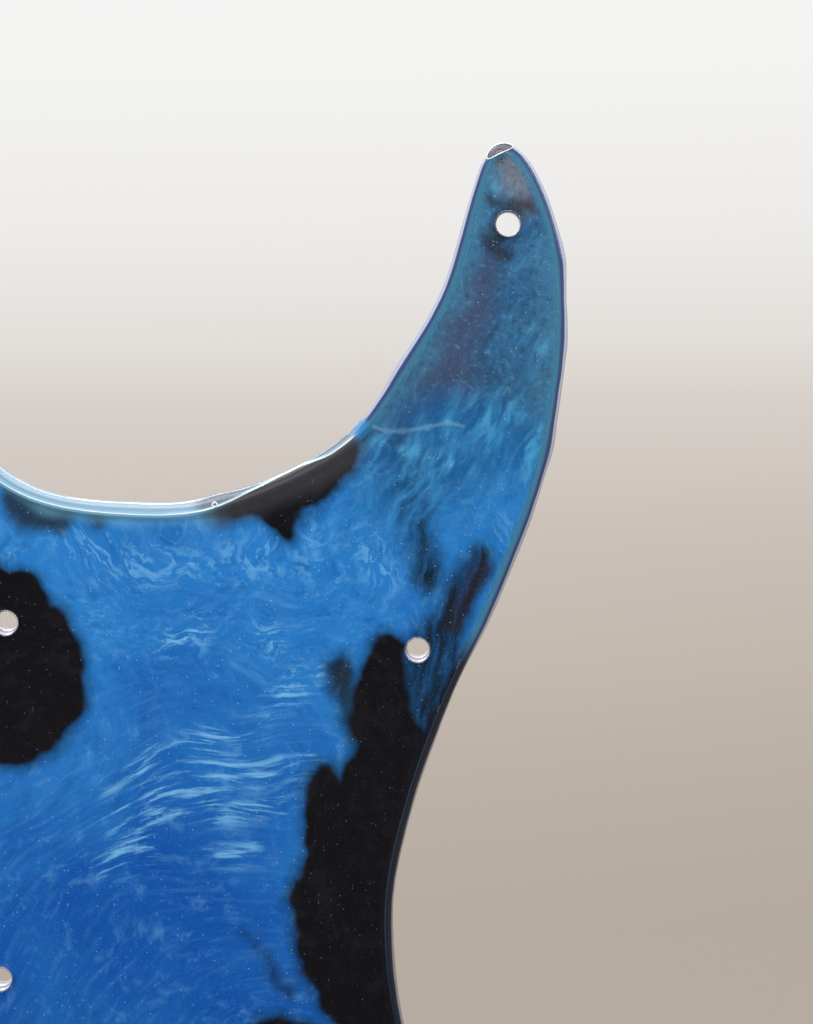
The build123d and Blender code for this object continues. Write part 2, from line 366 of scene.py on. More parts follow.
def blend(tree, share, under, over):
    """The over colour laid on the under colour by share: a Mix node's sockets 6, 7 and 2 are its colours."""
    return add(tree, "ShaderNodeMix", {0: share, 6: under, 7: over}, out=2, data_type="RGBA")


def pigmented_epoxy(settings):
    """Epoxy resin with pearl, black and violet pigments, poured wet side by side and cured.

    The pigments feather into one another, heavy mica settles in threads along the flow, and single flakes glint,
    painted as bright points in the colour.
    """
    material, tree = new_material("pigmented_epoxy")
    flat = place_in_mm(tree)

    # Slow eddies about settings.swirl across bend everything, more so near the cutaway, and small curls
    # roughen the pools' edges.
    height = part_of(tree, flat, 2)
    eddy = noise(tree, flat, 1 / settings.swirl, 1.5, out=1)
    eddy = vectors(tree, "SUBTRACT", eddy, (0.5, 0.5, 0.5))
    curl = noise(tree, flat, 0.13, 3.0, 0.5, out=1)
    curl = vectors(tree, "SUBTRACT", curl, (0.5, 0.5, 0.5))
    rough = vectors(tree, "MULTIPLY", curl, (5.0, 0, 5.0))
    ragged = vectors(tree, "ADD", flat, rough)
    reach = maths(tree, "ADD", ramp(tree, height, -70.0, -5.0, 34.0), 26.0)
    bent = vectors(tree, "SCALE", eddy, reach)
    bent = vectors(tree, "ADD", flat, bent)
    soft = vectors(tree, "SCALE", curl, 4.0)
    bent = vectors(tree, "ADD", bent, soft)

    # Blue pearl: a broad light and dark with a mottle, then threads drawn out along the flow, long about the
    # eddy low down and short and curled near the cutaway.
    pearl = tuple(settings.pearl)
    broad = noise(tree, bent, 0.035, 3.0)
    broad = maths(tree, "ADD", broad, ramp(tree, height, -85.0, 5.0, 0.45))
    field = blend(tree, ramp(tree, broad, 0.35, 0.95), tuple(settings.deep_blue), tuple(settings.clear_blue))
    mottle = noise(tree, bent, 0.3, 5.0, 0.62)
    field = blend(tree, ramp(tree, mottle, 0.5, 0.28, 0.45), field, colour("#0F5599"))
    field = blend(tree, ramp(tree, mottle, 0.52, 0.78, 0.28), field, pearl)
    thread = settings.thread
    turned = vectors(tree, "SCALE", eddy, 20.0)
    turned = vectors(tree, "ADD", turned, flat)
    turned = vectors(tree, "SUBTRACT", turned, EDDY)
    away = vectors(tree, "LENGTH", turned)
    sides = [part_of(tree, turned, k) for k in (0, 2)]
    angle = maths(tree, "ARCTAN2", sides[0], sides[1])
    arc = maths(tree, "MULTIPLY", angle, 8.0 / thread)
    ring = maths(tree, "MULTIPLY", away, 1.25 / thread)
    long = add(tree, "ShaderNodeCombineXYZ", {0: arc, 2: ring})
    long = noise(tree, long, 1.0, 5.0, 0.66)
    short = vectors(tree, "SCALE", curl, 9.0)
    short = vectors(tree, "ADD", bent, short)
    short = drawn_noise(tree, short, 0.35, (6 * thread, thread, 1.2 * thread), 3.0, 0.55)
    threads = add(tree, "ShaderNodeMix", {0: ramp(tree, height, -42.0, -24.0), 2: long, 3: short})
    field = blend(tree, ramp(tree, threads, 0.45, 0.8, 0.15), field, pearl)
    patches = noise(tree, bent, 0.06, 4.0, 0.6)
    patches = maths(tree, "MULTIPLY", ramp(tree, patches, 0.54, 0.74), ramp(tree, away, 75.0, 120.0, 0.6))
    pearly = pool_depth(tree, ragged, PEARL_POOLS)
    lower = ramp(tree, height, -18.0, -30.0, 0.55)
    thick = maths(tree, "MULTIPLY", ramp(tree, pearly, 3.0, -1.6, 0.8), lower)
    thick = maths(tree, "ADD", thick, ramp(tree, pearly, 3.0, -1.6, 0.4))
    patches = maths(tree, "MAXIMUM", patches, thick)
    shine = maths(tree, "MULTIPLY", ramp(tree, threads, 0.48, 0.64), patches)
    field = blend(tree, shine, field, pearl)

    # Treble horn: the blue turns teal, then slate with feathers up the horn, violet haze and a pale tip.
    lean = part_of(tree, flat, 0)
    inside = ramp(tree, lean, 92.0, 106.0)
    feathers = drawn_noise(tree, ragged, -1.13, (11, 3.2, 3.2), 6.0, 0.68)
    rising = part_of(tree, bent, 2)
    share = maths(tree, "MULTIPLY", ramp(tree, rising, -16.0, 4.0, 0.85), inside)
    teal = blend(tree, ramp(tree, feathers, 0.4, 0.7), colour("#185488"), colour("#3F93C2"))
    field = blend(tree, share, field, teal)
    smoke = blend(tree, ramp(tree, feathers, 0.3, 0.55), colour("#294764"), tuple(settings.slate))
    smoke = blend(tree, ramp(tree, mottle, 0.42, 0.66, 0.6), smoke, colour("#2E6C9C"))
    smoke = blend(tree, ramp(tree, feathers, 0.52, 0.72, 0.6), smoke, colour("#4A90B4"))
    violet = ramp(tree, pool_depth(tree, ragged, VIOLET_POOLS), 2.6, -2.4, 0.68)
    smoke = blend(tree, violet, smoke, tuple(settings.violet))
    pale = ramp(tree, pool_depth(tree, ragged, PALE_POOLS), 4.5, -1.0, 0.6)
    smoke = blend(tree, pale, smoke, colour("#8B8786"))
    thin = ramp(tree, pool_depth(tree, ragged, HORN_EDGES), 6.5, 1.5, 0.36)
    smoke = blend(tree, thin, smoke, colour("#5490AC"))
    fine = noise(tree, ragged, 0.9, 4.0, 0.7)
    smoke = blend(tree, ramp(tree, fine, 0.52, 0.3, 0.55), smoke, colour("#1F3D57"))
    smoke = blend(tree, ramp(tree, fine, 0.54, 0.74, 0.4), smoke, colour("#7FB2CC"))
    share = maths(tree, "MULTIPLY", ramp(tree, rising, 2.0, 13.0), inside)
    field = blend(tree, share, field, smoke)
    thick = ramp(tree, pool_depth(tree, ragged, HORN_PEARLS), 1.8, -0.8)
    thick = maths(tree, "MULTIPLY", thick, ramp(tree, feathers, 0.42, 0.62, 0.55))
    field = blend(tree, thick, field, colour("#58B0DC"))
    drawn_line = ramp(tree, pool_depth(tree, flat, FOOT_LINE), 0.6, -0.1, 0.3)
    field = blend(tree, drawn_line, field, colour("#8FC0DC"))

    # Thinned black in feathers, its brown heart, then the black pools inside a narrow dark blue fringe.
    drawn = ramp(tree, drawn_noise(tree, ragged, -1.35, (14, 2, 1.5), 4.0, 0.6), 0.68, 0.4)
    thin = ramp(tree, pool_depth(tree, ragged, THIN_POOLS), 2.6, -1.8)
    thin = maths(tree, "MULTIPLY", thin, maths(tree, "MULTIPLY_ADD", drawn, 0.4, 0.6))
    veil = ramp(tree, pool_depth(tree, ragged, VEIL_POOLS), 2.8, -2.4, 0.8)
    veil = maths(tree, "MULTIPLY", veil, ramp(tree, feathers, 0.66, 0.36))
    field = blend(tree, veil, field, colour("#163A5C"))
    field = blend(tree, thin, field, colour("#0F2234"))
    soft = ramp(tree, pool_depth(tree, ragged, SOFT_POOLS), 1.4, -1.8, 0.92)
    field = blend(tree, soft, field, colour("#22303E"))
    brown = ramp(tree, pool_depth(tree, ragged, BROWN_POOLS), 2.0, -0.6, 0.75)
    field = blend(tree, brown, field, colour("#262127"))
    depth = pool_depth(tree, ragged, BLACK_POOLS)
    field = blend(tree, ramp(tree, depth, 2.4, 0.0, 0.6), field, colour("#0E3F66"))
    black = blend(tree, ramp(tree, mottle, 0.45, 0.7, 0.5), tuple(settings.black), colour("#232026"))
    field = blend(tree, ramp(tree, depth, 0.6, -0.9), field, black)

    # Painted light: a pale glow laid on the pours along the cutaway's edge, as if light came down through its
    # bead; past x 68 to 78 mm the band reaches further and turns grey.
    beyond = ramp(tree, lean, 68.0, 78.0)
    reach = maths(tree, "MULTIPLY_ADD", beyond, 2.4, 5.2)
    painted_glow = ramp(tree, pool_depth(tree, flat, CUTAWAY_EDGE), reach, 2.0, 0.5)
    field = blend(tree, painted_glow, field, blend(tree, beyond, colour("#86CBE6"), colour("#5C5A60")))

    # Mica flakes as painted glints: the odd bright point in a cell of settings.speck, over a pale painted grain
    # that is weaker in the black.
    ins = {"Vector": flat, "Scale": 1 / settings.speck}
    cells = add(tree, "ShaderNodeTexVoronoi", ins, out=None, feature="F1")
    chosen = add(tree, "ShaderNodeSeparateColor", {0: cells.outputs["Color"]})
    point = ramp(tree, cells.outputs["Distance"], 0.19, 0.07)
    flake_glints = maths(tree, "MULTIPLY", point, ramp(tree, chosen, 0.55, 1.0, 0.85))
    glint_grain = noise(tree, flat, 2.2, 3.0, 0.8)
    glint = maths(tree, "ADD", ramp(tree, depth, -0.5, 0.5, 0.42), 0.1)
    glint = blend(tree, glint, field, colour("#8FB8D8"))
    field = blend(tree, ramp(tree, glint_grain, 0.55, 0.8, 0.6), field, glint)
    dim = ramp(tree, depth, -0.5, 0.5, 0.55)
    flake_glints = maths(tree, "MULTIPLY", flake_glints, maths(tree, "ADD", dim, 0.3))
    field = blend(tree, flake_glints, field, colour("#A4CBE6"))

    ins = {"Base Color": field, "Roughness": 0.5, "IOR": EPOXY_IOR, "Specular IOR Level": 0.1}
    shader = add(tree, "ShaderNodeBsdfPrincipled", ins)
    add(tree, "ShaderNodeOutputMaterial", {0: shader}, out=None)
    return material


def clear_epoxy():
    """Clear flood-coat epoxy, cured wet: light passes straight through, and its face mirrors by Fresnel."""
    material, tree = new_material("clear_flood_coat_epoxy")
    here = add(tree, "ShaderNodeTexCoord", out="Object")
    waves = noise(tree, here, 90.0, 1.0)
    bump = add(tree, "ShaderNodeBump", {"Height": waves, "Strength": 0.08, "Distance": 0.001})
    mirror = add(tree, "ShaderNodeBsdfGlossy", {"Roughness": 0.03, "Normal": bump})
    fresnel = add(tree, "ShaderNodeFresnel", {"IOR": EPOXY_IOR, "Normal": bump})
    facing = maths(tree, "SUBTRACT", 0.8, add(tree, "ShaderNodeNewGeometry", out="Backfacing"))
    share = maths(tree, "MULTIPLY", fresnel, facing, use_clamp=True)
    # Its walls are bonded to the bead and the sleeves, so only its face has a surface that mirrors.
    normal = add(tree, "ShaderNodeNewGeometry", out="Normal")
    level = maths(tree, "ABSOLUTE", part_of(tree, normal, 1))
    share = maths(tree, "MULTIPLY", share, ramp(tree, level, 0.3, 0.8))
    through = add(tree, "ShaderNodeBsdfTransparent", {"Color": (1, 1, 1, 1)})
    shader = add(tree, "ShaderNodeMixShader", {0: share, 1: through, 2: mirror})
    add(tree, "ShaderNodeOutputMaterial", {0: shader}, out=None)
    return material


def colour_steps(tree, value, steps):
    """A colour ramp with these (place, colour, alpha) steps, as its colour and alpha outputs."""
    node = add(tree, "ShaderNodeValToRGB", {0: value}, out=None)
    ramp_steps = node.color_ramp.elements
    while len(ramp_steps) < len(steps):
        ramp_steps.new(0.5)
    for step, (place, code, alpha) in zip(ramp_steps, steps):
        step.position, step.color, step.alpha = place, colour(code), alpha
    return node.outputs[0], node.outputs[1]


def wet_skin(tree, tint, cover, gloss=1.0):
    """Ends a material as a glossy skin of clear resin, which shows its tint by cover, and only from in front."""
    front = maths(tree, "SUBTRACT", 1.0, add(tree, "ShaderNodeNewGeometry", out="Backfacing"))
    body = add(tree, "ShaderNodeBsdfDiffuse", {"Color": tint})
    through = add(tree, "ShaderNodeBsdfTransparent", {"Color": (1, 1, 1, 1)})
    body = add(tree, "ShaderNodeMixShader", {0: maths(tree, "MULTIPLY", cover, front), 1: through, 2: body})
    mirror = add(tree, "ShaderNodeBsdfGlossy", {"Roughness": 0.08})
    fresnel = add(tree, "ShaderNodeFresnel", {"IOR": EPOXY_IOR})
    fresnel = maths(tree, "MULTIPLY", fresnel, maths(tree, "MULTIPLY", gloss, front))
    shader = add(tree, "ShaderNodeMixShader", {0: fresnel, 1: body, 2: mirror})
    add(tree, "ShaderNodeOutputMaterial", {0: shader}, out=None)


def beaded_epoxy():
    """Clear epoxy run round the edge by hand, with painted light in its colour: pale where it is thin, and a
    painted dark line where it bends the colour away.

    Along the cutaway it is painted milky and pale, as if light came down through it, with two painted white
    highlight lines; down the treble waist it is nearly black.
    """
    material, tree = new_material("beaded_clear_epoxy")
    across = add(tree, "ShaderNodeAttribute", out=2, attribute_name="across")
    flat = place_in_mm(tree)
    wander = noise(tree, flat, 0.07, 2.0)
    where = maths(tree, "MULTIPLY_ADD", wander, 0.36, -0.18)
    where = maths(tree, "ADD", where, across)
    where = maths(tree, "DIVIDE", where, 2.6)
    # Painted light: the bands stand in for the light the bead bends, lets through and mirrors.
    side, side_cover = colour_steps(tree, where, SIDE_BANDS)
    along = part_of(tree, flat, 0)
    drift = maths(tree, "ADD", where, ramp(tree, along, 70.0, 88.0, 0.62))
    drift = maths(tree, "SUBTRACT", drift, ramp(tree, along, 89.0, 95.0, 0.32))
    # Along the cutaway: a painted pale glow and two painted white highlight lines.
    cutaway_painted_light, cutaway_painted_light_cover = colour_steps(tree, drift, CUTAWAY_BANDS)
    waist_dark, waist_dark_cover = colour_steps(tree, where, WAIST_BANDS)
    at_cutaway = ramp(tree, pool_depth(tree, flat, CUTAWAY_EDGE), 6.0, 2.5)
    low = ramp(tree, pool_depth(tree, flat, WAIST_EDGE), 14.0, 6.0)
    shade = ramp(tree, pool_depth(tree, flat, CUTAWAY_POOL), 2.0, -1.0, 0.75)
    shade = maths(tree, "SUBTRACT", shade, ramp(tree, drift, 0.55, 0.62), use_clamp=True)
    cutaway_painted_light = blend(tree, shade, cutaway_painted_light, colour("#4A4D5A"))
    beyond = ramp(tree, along, 68.0, 78.0)
    tail = maths(tree, "MULTIPLY", ramp(tree, drift, 0.71, 0.77), beyond)
    cutaway_painted_light = blend(tree, tail, cutaway_painted_light, colour("#4E4C52"))
    solid = maths(tree, "MULTIPLY", ramp(tree, where, 0.76, 0.62, 0.97), tail)
    cutaway_painted_light_cover = maths(tree, "MAXIMUM", cutaway_painted_light_cover, solid)
    tint = blend(tree, low, side, waist_dark)
    tint = blend(tree, at_cutaway, tint, cutaway_painted_light)
    cover = add(tree, "ShaderNodeMix", {0: low, 2: side_cover, 3: waist_dark_cover})
    cover = add(tree, "ShaderNodeMix", {0: at_cutaway, 2: cover, 3: cutaway_painted_light_cover})
    crossing = ramp(tree, pool_depth(tree, flat, CROSSING_BLUE), 1.8, 0.0, 0.85)
    tint = blend(tree, crossing, tint, colour("#3288C6"))
    cover = maths(tree, "MAXIMUM", cover, crossing)
    wet = maths(tree, "MULTIPLY_ADD", at_cutaway, 0.1, 0.4)
    wet = maths(tree, "SUBTRACT", wet, maths(tree, "MULTIPLY", low, 0.3))
    wet_skin(tree, tint, cover, wet)
    return material


def sleeve_epoxy():
    """Clear epoxy that ran into a hole and set there: pale lavender where it is thick, grey in its groove."""
    material, tree = new_material("set_clear_epoxy")
    tone = add(tree, "ShaderNodeAttribute", out=2, attribute_name="tone")
    tint, thick = colour_steps(tree, tone, SLEEVE_TONES)
    wet_skin(tree, tint, thick)
    return material


def plain_epoxy(name, code, roughness):
    """Cured epoxy skin of one colour, glossy, with the light that trapped air turns back painted into that
    colour.
    """
    material, tree = new_material(name)
    ins = {"Base Color": colour(code), "Roughness": roughness, "IOR": EPOXY_IOR}
    shader = add(tree, "ShaderNodeBsdfPrincipled", ins)
    add(tree, "ShaderNodeOutputMaterial", {0: shader}, out=None)
    return material


def sweep_paper():
    """Paper sweep with its light painted in: pale at the top and warm grey at its foot, a little darker to the
    right, mostly glowing and partly matt.
    """
    material, tree = new_material("paper_sweep_painted_light")
    here = add(tree, "ShaderNodeTexCoord", out="Object")
    x, y, z = (part_of(tree, here, k) for k in range(3))
    far = maths(tree, "MULTIPLY_ADD", y, 0.12, 0.2)
    high = maths(tree, "MULTIPLY_ADD", z, 1.0, far)
    high = maths(tree, "MULTIPLY_ADD", x, -0.05, high)
    tone, _ = colour_steps(tree, high, SWEEP_TONES)
    behind = ramp(tree, y, 0.1, 0.7)
    # Painted light: seen by the camera or from behind, the sweep glows in its own tones.
    seen = maths(tree, "MAXIMUM", add(tree, "ShaderNodeLightPath", out="Is Camera Ray"), behind)
    matt = add(tree, "ShaderNodeBsdfDiffuse", {"Color": tone})
    painted_glow = add(tree, "ShaderNodeEmission", {"Color": tone, "Strength": seen})
    shader = add(tree, "ShaderNodeMixShader", {0: 0.88, 1: matt, 2: painted_glow})
    add(tree, "ShaderNodeOutputMaterial", {0: shader}, out=None)
    return material


def surface(name, points, closed_u, closed_v, attributes=()):
    """A mesh from a grid of points: u runs down its first axis, v along its second, each joined up if closed.

    A closed surface whose signed volume comes out negative has its faces turned to point outwards.
    """
    rows, columns = points.shape[:2]
    index = np.arange(rows * columns).reshape(rows, columns)
    if closed_u:
        index = np.concatenate([index, index[:1]])
    if closed_v:
        index = np.concatenate([index, index[:, :1]], axis=1)
    quads = np.stack([index[:-1, :-1], index[1:, :-1], index[1:, 1:], index[:-1, 1:]], axis=-1).reshape(-1, 4)
    a, b, c, d = (points.reshape(-1, 3)[quads[:, k]] for k in range(4))
    volume = np.sum(np.cross(a, b) * c) + np.sum(np.cross(a, c) * d)
    if closed_u and closed_v and volume < 0:
        quads = quads[:, ::-1]
    mesh = bpy.data.meshes.new(name)
    mesh.from_pydata(points.reshape(-1, 3), [], quads)
    for key, values in dict(attributes).items():
        layer = mesh.attributes.new(key, "FLOAT", "POINT")
        layer.data.foreach_set("value", values.astype(np.float32).ravel())
    mesh.shade_smooth()
    mesh.update()
    piece = bpy.data.objects.new(name, mesh)
    bpy.context.scene.collection.objects.link(piece)
    return piece


def edge_path(spacing):
    """The plate's outline just in front of its back rounding, evenly spaced, with outward directions.

    Each wall triangle that has two corners on that line leads from one to the next. Doubling those steps
    gives every corner its rank along the line. The line is then resampled and smoothed by a short moving
    average.
    """
    mesh = frame["nodes"]["clear_edge_bead"].data
    corners = np.empty(len(mesh.vertices) * 3)
    mesh.vertices.foreach_get("co", corners)
    corners = corners.reshape(-1, 3)
    mesh.calc_loop_triangles()
    triangles = np.empty(len(mesh.loop_triangles) * 3, int)
    mesh.loop_triangles.foreach_get("vertices", triangles)
    places, same = np.unique(np.round(corners, 7), axis=0, return_inverse=True)
    triangles = same.ravel()[triangles].reshape(-1, 3)
    # The back rounding starts 0.7 mm from the back, and what is a little further forwards is on the wall.
    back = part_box("clear_edge_bead")[1].y
    line_y, wall_y = back - 0.7 * MM, back - 0.72 * MM
    on_line = np.isclose(places[:, 1], line_y, atol=2e-6)[triangles]
    in_front = (places[:, 1] < wall_y)[triangles]
    wall = triangles[(on_line.sum(1) == 2) & (in_front.sum(1) == 1)]
    wall = np.concatenate([np.roll(wall, turn, axis=1) for turn in range(3)])
    wall = wall[places[wall[:, 2], 1] < wall_y]
    following = np.full(len(places), -1)
    following[wall[:, 0]] = wall[:, 1]
    start = wall[0, 0]
    rank, ahead = (following >= 0).astype(float), following.copy()
    ahead[following == start] = -1
    for _ in range(int(np.ceil(np.log2(len(wall)))) + 1):
        known = ahead >= 0
        rank[known] += rank[ahead[known]]
        ahead[known] = ahead[ahead[known]]
    line = wall[:, 0][np.argsort(-rank[wall[:, 0]])]
    line = places[line][:, [0, 2]]
    steps = np.linalg.norm(np.roll(line, -1, axis=0) - line, axis=1)
    reach = np.concatenate([[0], np.cumsum(steps)])
    count = int(reach[-1] / spacing)
    marks = np.arange(count) * reach[-1] / count
    ring = np.concatenate([line, line[:1]])
    path = np.stack([np.interp(marks, reach, ring[:, k]) for k in range(2)], axis=1)
    for _ in range(2):
        path = 0.25 * np.roll(path, 1, axis=0) + 0.5 * path + 0.25 * np.roll(path, -1, axis=0)
    tangent = np.roll(path, -2, axis=0) - np.roll(path, 2, axis=0)
    tangent /= np.linalg.norm(tangent, axis=1)[:, None]
    area = 0.5 * np.sum(path[:, 0] * np.roll(path[:, 1], -1) - np.roll(path[:, 0], -1) * path[:, 1])
    outward = np.stack([tangent[:, 1], -tangent[:, 0]], axis=1) * np.sign(area)
    return path, outward, marks


def slow_waves(marks, lengths, seed):
    """A wandering value along the edge: the mean of sines of those wavelengths, fitted to close on itself."""
    total = marks[-1] + marks[1]
    phases = np.random.default_rng(seed).uniform(0, 2 * np.pi, len(lengths))
    turns = np.round(total / np.array(lengths))
    return np.mean(np.sin(2 * np.pi * turns * marks[:, None] / total + phases), axis=1)


class SCRATCHPLATE_OT_pours(bpy.types.Operator):
    """Give every pour the pigmented epoxy"""

    bl_idname = "scratchplate.pours"
    bl_label = "Pigmented pours"

    def execute(self, context):
        material = pigmented_epoxy(context.scene.scratchplate_pours)
        for name, node in frame["nodes"].items():
            if "pour" in name:
                node.data.materials.clear()
                node.data.materials.append(material)
        return {"FINISHED"}


class SCRATCHPLATE_OT_face_coat(bpy.types.Operator):
    """Build the face coat: the CAD coat's own shape, merged, its back just clear of the pours"""

    bl_idname = "scratchplate.face_coat"
    bl_label = "Clear face coat"

    def execute(self, context):
        mesh = frame["nodes"]["clear_face_coat"].data.copy()
        mesh.name = "face_coat"
        shell = bmesh.new()
        shell.from_mesh(mesh)
        bmesh.ops.remove_doubles(shell, verts=shell.verts, dist=1e-6)
        shell.to_mesh(mesh)
        shell.free()
        places = np.empty(len(mesh.vertices) * 3, np.float32)
        mesh.vertices.foreach_get("co", places)
        places = places.reshape(-1, 3)
        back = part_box("clear_face_coat")[1].y
        places[places[:, 1] > back - 0.1 * MM, 1] = back - 0.02 * MM
        mesh.vertices.foreach_set("co", places.ravel())
        mesh.shade_flat()
        mesh.update()
        mesh.materials.clear()
        mesh.materials.append(clear_epoxy())
        piece = bpy.data.objects.new("face_coat", mesh)
        context.scene.collection.objects.link(piece)
        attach(piece, "root")
        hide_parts("clear_face_coat")
        return {"FINISHED"}


class SCRATCHPLATE_OT_edge_bead(bpy.types.Operator):
    """Build the clear bead round the edge, with its two crests, its wander and its set drips"""

    bl_idname = "scratchplate.edge_bead"
    bl_label = "Clear edge bead"

    def execute(self, context):
        settings = context.scene.scratchplate_clear
        path, outward, marks = edge_path(0.6 * MM)
        low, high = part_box("clear_edge_bead")
        front, reach, crest = low.y, settings.bead_reach, settings.crest
        # The profile as (inwards, y) places: from the foot up the wall, over the outer crest, the dip and the
        # inner crest, then down under the face. The front corner is rounded.
        share = np.linspace(0, 1, 19)
        lap = share * reach
        rise = 0.5 - 0.5 * np.cos(4 * np.pi * share)
        corner = 1.1 * MM
        turn_in = front + corner * (1 - np.sqrt(1 - np.clip(1 - lap / corner, 0, 1) ** 2))
        face = np.stack([lap, turn_in], axis=1)
        back = high.y / MM
        foot = np.array([[1.4, back - 0.05], [0.6, back - 0.02], [0.2, -0.2], [0.02, -0.6]]) * MM
        wall = np.array([[0.0, -1.2], [0.0, -1.8], [0.0, -2.4]]) * MM
        under = np.array([[reach / MM, front / MM + 0.35], [1.4, front / MM + 0.5], [1.4, -2.0]]) * MM
        profile = np.concatenate([foot, wall, face, under])
        across = np.concatenate([np.full(len(foot) + len(wall), 0.0), lap / MM, np.full(len(under), 2.4)])
        # The edge wanders in and out by about 0.15 mm, and drips stand out further.
        swell = 0.16 * MM * slow_waves(marks, (0.021, 0.034, 0.055), 4) + 0.02 * MM
        for x, z, half in DRIPS:
            gap = np.linalg.norm(path - np.array([x, z]) * MM, axis=1) / (half * MM)
            swell += settings.drip * np.exp(-(gap**2)) * 0.8
        outer = np.clip(1 - profile[:, 0] / (1.2 * MM), 0, 1)
        inwards = profile[None, :, 0] - swell[:, None] * outer[None, :]
        # The crests stand up along the cutaway and die away round the horn.
        crests = np.concatenate([np.zeros(len(foot) + len(wall)), rise, np.zeros(len(under))])
        cutaway = np.clip((path[:, 1] / MM + 8) / 3, 0, 1) * np.clip((98 - path[:, 0] / MM) / 10, 0, 1)
        cutaway *= np.clip((path[:, 0] / MM - 28) / 6, 0, 1) * np.clip((30 - path[:, 1] / MM) / 12, 0, 1)
        depth = profile[None, :, 1] - crest * cutaway[:, None] * crests[None, :]
        spot = path[:, None, :] - outward[:, None, :] * inwards[:, :, None]
        points = np.stack([spot[..., 0], depth, spot[..., 1]], axis=-1)
        piece = surface("edge_bead", points, True, True, {"across": np.broadcast_to(across, depth.shape)})
        piece.data.materials.append(beaded_epoxy())
        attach(piece, "root")
        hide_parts("clear_edge_bead")
        return {"FINISHED"}


class SCRATCHPLATE_OT_hole_sleeves(bpy.types.Operator):
    """Build the clear sleeve and raised rim that the flood coat leaves in each round hole"""

    bl_idname = "scratchplate.hole_sleeves"
    bl_label = "Hole sleeves"

    def execute(self, context):
        settings = context.scene.scratchplate_clear
        rim = settings.rim / MM
        shader = sleeve_epoxy()
        holes = []
        for mount in frame["record"]["mounts"]:
            x, _, z = mount["pos_m"]
            if mount["kind"] == "bore":
                holes.append((mount["name"], x, z, mount["dims"]["r_mm"]))
            elif mount["kind"] == "bolt_pattern":
                half = (mount["dims"].get("spacing_x_mm") or mount["dims"]["pcd_mm"]) * MM / 2
                slant = np.radians(PATTERN_SLANTS.get(mount["name"], 0))
                for end in (-1, 1):
                    side = "bass" if end < 0 else "treble"
                    place = (x + end * half * np.cos(slant), z + end * half * np.sin(slant))
                    holes.append((f"{mount['name']}_{side}", *place, mount["dims"]["hole_r_mm"]))
        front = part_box("clear_face_coat")[0].y / MM
        # The profile as (outwards, share of the set thickness, y, tone): up the bore, over a shelf with a
        # groove in it, up the wall, then a low round rim on the face. Sizes are in mm.
        profile = np.array([
            [0.1, 0, -0.05, 1], [0, 1, -0.1, 1], [0, 1, front + 1.6, 1], [0, 0.92, front + 1.3, 1],
            [0, 0.66, front + 1.25, 0.75], [0, 0.52, front + 1.35, 0.3], [0, 0.4, front + 1.1, 0.6],
            [-0.04, 0.1, front + 0.6, 0.8], [-0.03, 0, front + 0.1, 0.5], [0.08, 0, front - 0.04, 0],
            [rim / 2, 0, front - 0.06, 0], [0.85 * rim, 0, front - 0.03, 0], [rim, 0, front + 0.05, 0],
            [0.1, 0, front + 0.3, 0],
        ])
        angle = np.linspace(0, 2 * np.pi, 64, endpoint=False)
        for name, x, z, radius in holes:
            # The resin ran down before it set, so it is thickest low in the hole. The horn's hole is clear.
            lean = 0.35 * np.sin(97 * x / MM)
            thick = np.clip(0.3 - 0.45 * np.sin(angle + lean), 0.04, None)
            if name == "screw_treble_horn":
                thick = np.full(len(angle), 0.05)
            reach = radius + profile[None, :, 0] - profile[None, :, 1] * thick[:, None]
            points = np.stack([
                x + reach * MM * np.cos(angle)[:, None],
                np.broadcast_to(profile[:, 2] * MM, reach.shape),
                z + reach * MM * np.sin(angle)[:, None],
            ], axis=-1)
            tone = {"tone": np.broadcast_to(profile[:, 3], reach.shape)}
            piece = surface(f"sleeve_{name}", points, True, True, tone)
            piece.data.materials.append(shader)
            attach(piece, "root")
        return {"FINISHED"}


class SCRATCHPLATE_OT_bubbles(bpy.types.Operator):
    """Build the air trapped at the horn's tip and in the cutaway's bead, each a rim round a hollow"""

    bl_idname = "scratchplate.bubbles"
    bl_label = "Trapped bubbles"

    def execute(self, context):
        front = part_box("clear_edge_bead")[0].y
        # Painted light: the rim is painted bright, as clear epoxy looks where it curves over the air's edge, and
        # the hollow is painted dark where the air lies flat.
        rim = plain_epoxy("round_air_painted_bright", "#F2F5FA", 0.2)
        hollow = plain_epoxy("over_air_painted_dark", "#7C7A8A", 0.1)
        around = np.linspace(0, 2 * np.pi, 64, endpoint=False)
        for name, (x, z, half_length, half_width, slant) in BUBBLES.items():
            lean = np.radians(slant)
            tube = min(0.14, 0.4 * half_width)
            # The rim's section is a circle of radius tube. The hollow's is a lens that closes to a point.
            turn = np.linspace(0, 2 * np.pi, 12, endpoint=False)
            ring = np.stack([tube * np.cos(turn), -0.05 + tube * np.sin(turn)], axis=1)
            lens = np.array(
                [[1.0, 0.0], [0.7, -0.1], [0.35, -0.13], [0.002, -0.14], [0.002, 0.1], [0.7, 0.1]]
            )
            for part, section, material in (("rim", ring, rim), ("hollow", lens, hollow)):
                if part == "rim":
                    long, wide = half_length + section[:, 0], half_width + section[:, 0]
                else:
                    long, wide = half_length * section[:, 0], half_width * section[:, 0]
                a = long[None, :] * np.cos(around)[:, None]
                bow = 0.12 * long[None, :] * np.cos(2 * around)[:, None]
                b = wide[None, :] * np.sin(around)[:, None] - bow
                points = np.stack([
                    x + a * np.cos(lean) - b * np.sin(lean),
                    np.broadcast_to(front / MM + 0.06 + section[:, 1], a.shape),
                    z + a * np.sin(lean) + b * np.cos(lean),
                ], axis=-1) * MM
                piece = surface(f"{name}_{part}", points, True, True)
                piece.data.materials.append(material)
                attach(piece, "root")
        return {"FINISHED"}


